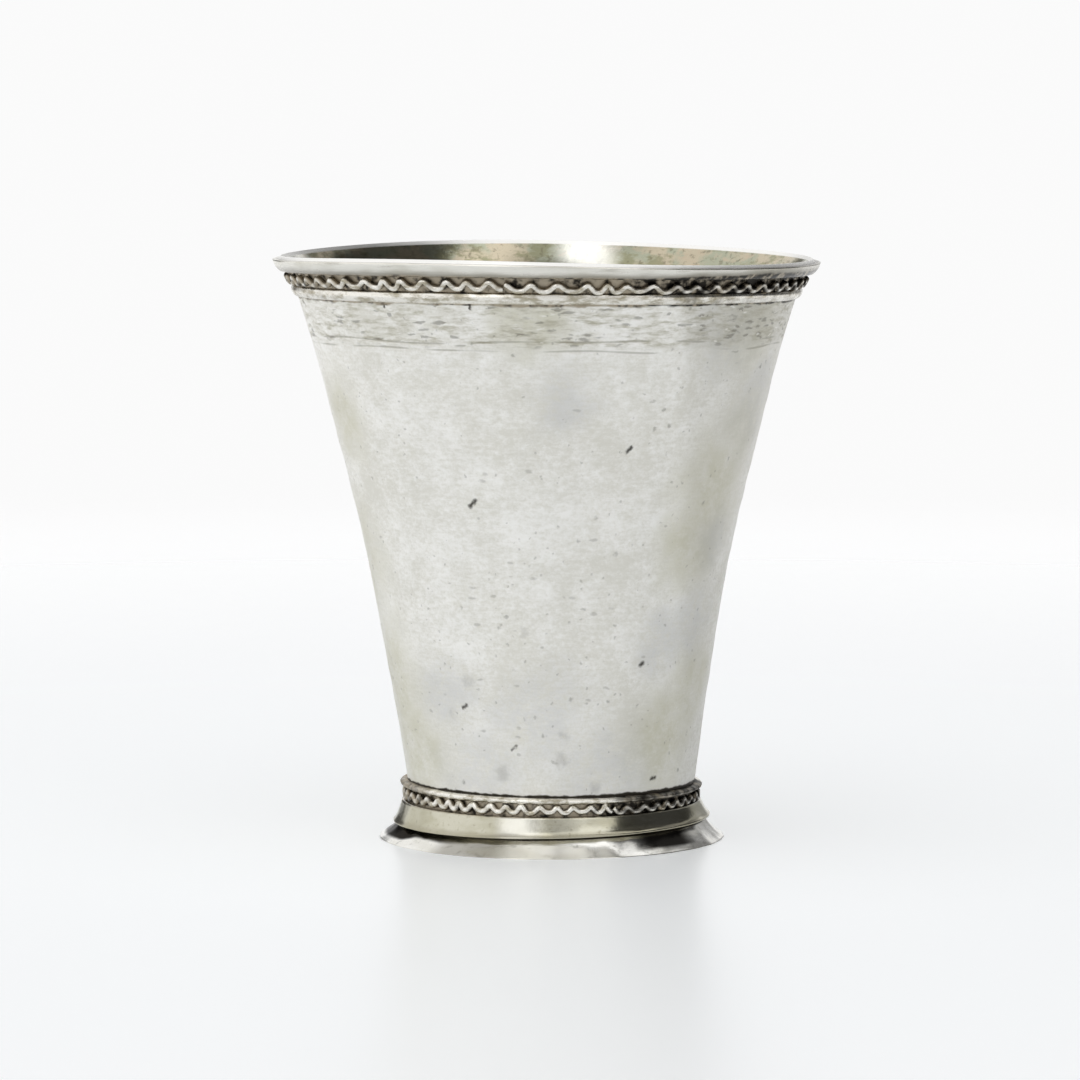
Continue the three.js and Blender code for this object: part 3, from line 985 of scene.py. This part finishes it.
def yellowed_silver():
    """The foot's collar: smooth, warm and a little clouded, with a painted highlight at its front left,
    stained along its lip, and oxide with painted shade under it.
    """
    g = Silver("yellowed_silver")
    cloud = g.noise(g.stretched(3), 4, 4, 0.6)
    speck = g.noise(g.place, 0.8, 3)
    colour = g.mix(g.fade(cloud, 0.36, 0.66), COLLAR_DULL, COLLAR_BRIGHT)
    colour = g.stained(colour, g.fade(speck, 0.58, 0.75), 0.4, COLLAR_STAIN)
    colour = g.stained(colour, g.side(*OLIVE_SIDE), 0.3, OLIVE_TARNISH)
    # Painted highlight: a pale strip on the collar's front left
    colour = g.stained(colour, g.side(*HIGHLIGHT_FRONT), 0.6, COLLAR_HIGHLIGHT)
    lip = g.fade(g.level, COLLAR.bottom / MM + 1.1, COLLAR.bottom / MM + 0.4)
    colour = g.stained(colour, lip, 0.4, COLLAR_STAIN)
    # Oxide under the collar's lip, deepened there as painted shade
    colour = g.mix(g.fade(g.wear, 0.9, 0.4), colour, g.oxide())
    roughness = g.sum((cloud, 0.14), (speck, 0.08), (0.06, 1.0))
    return g.finish(colour, roughness, g.sum((speck, 0.4), (cloud, 0.8)), 0.03 * MM)


def rubbed_silver():
    """The foot's flange: rubbed bright on its edge, black with soot and painted shade where it meets the
    collar, with painted dark reflections on its left and right and a painted brown one at the front left.
    """
    g = Silver("rubbed_silver")
    cloud = g.noise(g.stretched(4), 3, 3, 0.6)
    speck = g.noise(g.stretched(2), 0.7, 3)
    colour = g.mix(g.fade(cloud, 0.36, 0.66), FLANGE_DULL, CLEAN_SILVER_AND_HIGHLIGHT)
    colour = g.stained(colour, g.fade(speck, 0.56, 0.75), 0.4, FLANGE_SPECK)
    # Soot and painted shade: black at the flange's neck under the collar's lip; its hollow underside is
    # sooty too
    free_of_soot_and_shade = g.fade(g.sum((g.wear, 1.0), (cloud, 0.6)), 0.5, 0.95)
    colour = g.mix(free_of_soot_and_shade, g.soot(), colour)
    # Painted dark reflections: on the upper flange at the left and its left tip, and on the right above the
    # edge
    upper_flange = g.fade(g.sum((g.level, 1.0), (cloud, 1.2), (g.side(*DARK_REFLECTION_TIP), 0.8)), 2.0, 2.6)
    dark_reflection = g.math("MULTIPLY", g.side(*DARK_REFLECTION_SIDE), upper_flange)
    above_edge = g.fade(g.sum((g.level, 1.0), (cloud, 0.6)), 0.8, 1.3)
    dark_reflection = g.larger(dark_reflection, g.math("MULTIPLY", g.side(*DARK_REFLECTION_PATCH), above_edge))
    colour = g.stained(colour, dark_reflection, 0.96, DARK_REFLECTION)
    # The painted dark reflections also dull the metal's edge tint
    g.feed(g.shader.inputs["Specular Tint"], g.mix(dark_reflection, grey(1.0), grey(0.4)))
    # Painted brown reflection: a darker patch on the flange's front left
    colour = g.stained(colour, g.side(*BROWN_REFLECTION_SIDE), 0.6, BROWN_REFLECTION)
    roughness = g.sum((cloud, 0.14), (free_of_soot_and_shade, -0.2), (speck, 0.08), (0.26, 1.0))
    return g.finish(colour, roughness, g.sum((speck, 0.3), (cloud, 1.0)), 0.06 * MM)


# Studio

CAMERA_X = -1.91 * MM
CAMERA_DISTANCE = 910 * MM
CAMERA_HEIGHT = 131 * MM
AIM_HEIGHT = 48.5 * MM
FOCAL_PIXELS = 5600
PHOTO_PIXELS = 1080
BACKDROP = 0.96
FILL = 0.19
LAMP_PLACE = (-0.05, -0.35, 1.2)
LAMP_SIZE = 1.6
LAMP_WATTS = 7.6

# The room as the silver sees it: brightness from 0, black; azimuths and elevations in degrees
WHITE = 1.0
CAMERA_SIDE = 0.72
CAMERA_SIDE_REACH = (62, 34)
ZONES = (
    (1.2, (-39, -16, 4, 62)),
    (1.4, (-37, -23, 4, 62)),
    (1.7, (-35, -14, 53, 68)),
    (0.35, (126, 162, -2, 14)),
    (0.45, (131, 149, 12, 34)),
    (0.2, (143, 170, 25, 38)),
    (0.05, (55, 128, 4, 44)),
    (0.08, (61, 119, 40, 58)),
    (0.05, (115, 134, 0, 24)),
    (0.3, (122, 142, 38, 48)),
    (0.08, (-163, -149, -2, 14)),
    (0.45, (-9, 12, 38, 50)),
    (0.6, (-4, 4, 14, 38)),
    (1.25, (26, 48, 38, 60)),
)
ZONE_EDGE = 4
PANELS = (0.8, 1.25)
PANEL_ELEVATIONS = (50, 63)
PANEL_SOFTNESS = 0.8
PANEL_WIDTH = 0.455
PANEL_MIDDLE = -0.17


def camera():
    """The photograph's view: far off and a little from above."""
    data = bpy.data.cameras.new("camera")
    data.sensor_width = 36
    data.lens = data.sensor_width * FOCAL_PIXELS / PHOTO_PIXELS
    made = bpy.data.objects.new("camera", data)
    made.location = (CAMERA_X, -CAMERA_DISTANCE, CAMERA_HEIGHT)
    aim = Vector((CAMERA_X, 0, AIM_HEIGHT)) - made.location
    made.rotation_euler = aim.to_track_quat("-Z", "Y").to_euler()
    bpy.context.scene.collection.objects.link(made)
    bpy.context.scene.camera = made


def room():
    """A white studio; the silver mirrors a grey camera side, a lit strip, dark sides and roof panels."""
    world = bpy.data.worlds.new("room")
    world.use_nodes = True
    bpy.context.scene.world = world
    g = Graph(world.node_tree)
    direction = g.node("ShaderNodeTexCoord", {}).outputs["Generated"]
    x, y, z = g.node("ShaderNodeSeparateXYZ", {0: direction}).outputs
    azimuth = g.math("DEGREES", g.math("ARCTAN2", x, g.math("MULTIPLY", y, -1.0)))
    elevation = g.math("DEGREES", g.math("ARCSINE", z))

    def zone(left, right, low, high):
        wide = g.band(azimuth, left, right, ZONE_EDGE)
        tall = g.band(elevation, low, high, ZONE_EDGE)
        return g.math("MULTIPLY", wide, tall)

    outer, inner = (math.cos(math.radians(angle)) for angle in CAMERA_SIDE_REACH)
    near = g.fade(g.math("MULTIPLY", y, -1.0), outer, inner)
    wave = g.math("COSINE", g.math("MULTIPLY", g.math("SUBTRACT", x, PANEL_MIDDLE), TURN / PANEL_WIDTH))
    stripes = g.fade(wave, -PANEL_SOFTNESS, PANEL_SOFTNESS)
    panels = g.mix(stripes, *(grey(brightness) for brightness in PANELS))
    light = g.mix(g.fade(elevation, *PANEL_ELEVATIONS), grey(WHITE), panels)
    light = g.mix(near, light, grey(CAMERA_SIDE))
    for brightness, edges in ZONES:
        light = g.mix(zone(*edges), light, grey(brightness))
    rays = g.node("ShaderNodeLightPath", {}).outputs
    light = g.mix(rays["Is Diffuse Ray"], light, grey(FILL))
    light = g.mix(rays["Is Camera Ray"], light, grey(BACKDROP))
    g.feed(world.node_tree.nodes["Background"].inputs["Color"], light)


def softbox(name, place, size, watts):
    """A square lamp that lights the floor round the beaker but isn't mirrored in the silver."""
    data = bpy.data.lights.new(name, "AREA")
    data.size = size
    data.energy = watts
    made = bpy.data.objects.new(name, data)
    made.location = place
    made.visible_glossy = False
    aim = Vector((0, 0, CUP.top / 2)) - made.location
    made.rotation_euler = aim.to_track_quat("-Z", "Y").to_euler()
    bpy.context.scene.collection.objects.link(made)


FLOOR_HALF = 3.0
FLOOR_FADES = (0.05, 0.7)
FLOOR_GLOW = 0.29
FLOOR_SPECULAR = 0.35
FLOOR_WHITE = tone(246, 248, 250)
FLOOR_CLOUDED = tone(241, 244, 246)


def floor():
    """A glossy white floor, faintly clouded, that fades into the backdrop."""
    mesh = bpy.data.meshes.new("floor")
    corners = [(-1, -1), (1, -1), (1, 1), (-1, 1)]
    mesh.from_pydata([(x * FLOOR_HALF, y * FLOOR_HALF, 0.0) for x, y in corners], [], [(0, 1, 2, 3)])
    material = bpy.data.materials.new("white_floor")
    material.use_nodes = True
    g = Graph(material.node_tree)
    shader = material.node_tree.nodes["Principled BSDF"]
    place = g.node("ShaderNodeTexCoord", {}).outputs["Object"]
    cloud = g.noise(place, 0.4, 2)
    g.feed(shader.inputs["Base Color"], g.mix(cloud, FLOOR_CLOUDED, FLOOR_WHITE))
    g.feed(shader.inputs["Roughness"], g.sum((cloud, 0.06), (0.26, 1.0)))
    shader.inputs["Specular IOR Level"].default_value = FLOOR_SPECULAR
    shader.inputs["Emission Color"].default_value = FLOOR_WHITE
    shader.inputs["Emission Strength"].default_value = FLOOR_GLOW
    away = g.vector("DISTANCE", place, (0.0, 0.0, 0.0))
    clear = g.node("ShaderNodeBsdfTransparent", {}).outputs["BSDF"]
    share = g.fade(away, *FLOOR_FADES)
    faded = g.node("ShaderNodeMixShader", {0: share, 1: shader.outputs["BSDF"], 2: clear})
    g.feed(material.node_tree.nodes["Material Output"].inputs["Surface"], faded.outputs["Shader"])
    mesh.materials.append(material)
    made = bpy.data.objects.new("floor", mesh)
    bpy.context.scene.collection.objects.link(made)


def place_piece(piece, node, material=None):
    """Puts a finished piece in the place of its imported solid."""
    if material is not None:
        piece.data.materials.append(material)
    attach(piece, "root")
    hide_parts(node)


wire = dull_wire()
rim_wave = wave_wire(
    "rim_wave", RIM_WAVE, RIM_WIRE, RIM_WAVE_PITCH, RIM_WAVE_RISE, RIM_JOINT, seed=61)
rim_bead = bead("rim_bead", RIM_BEAD, RIM_BEAD_HEIGHT, RIM_BEAD_PROJECTION, seed=31)
foot_bead = bead("foot_bead", FOOT_BEAD, FOOT_BEAD_HEIGHT, FOOT_BEAD_PROJECTION, seed=32)
foot_wave = wave_wire(
    "foot_wave", FOOT_WAVE, FOOT_WIRE, FOOT_WAVE_PITCH, FOOT_WAVE_RISE, FOOT_JOINT, seed=71)
place_piece(cup(), "cup_body")
place_piece(edge_band(), "rim_edge_band", bright_silver())
place_piece(rim_wave, "rim_wave_wire", wire)
place_piece(rim_bead, "rim_bead_wire", wire)
place_piece(foot_bead, "foot_bead_wire", wire)
place_piece(foot_wave, "foot_wave_wire", wire)
place_piece(collar(), "foot_collar", yellowed_silver())
place_piece(flange(), "foot_flange", rubbed_silver())

floor()
room()
softbox("top", LAMP_PLACE, LAMP_SIZE, LAMP_WATTS)
camera()
bpy.context.scene.view_settings.view_transform = "Standard"
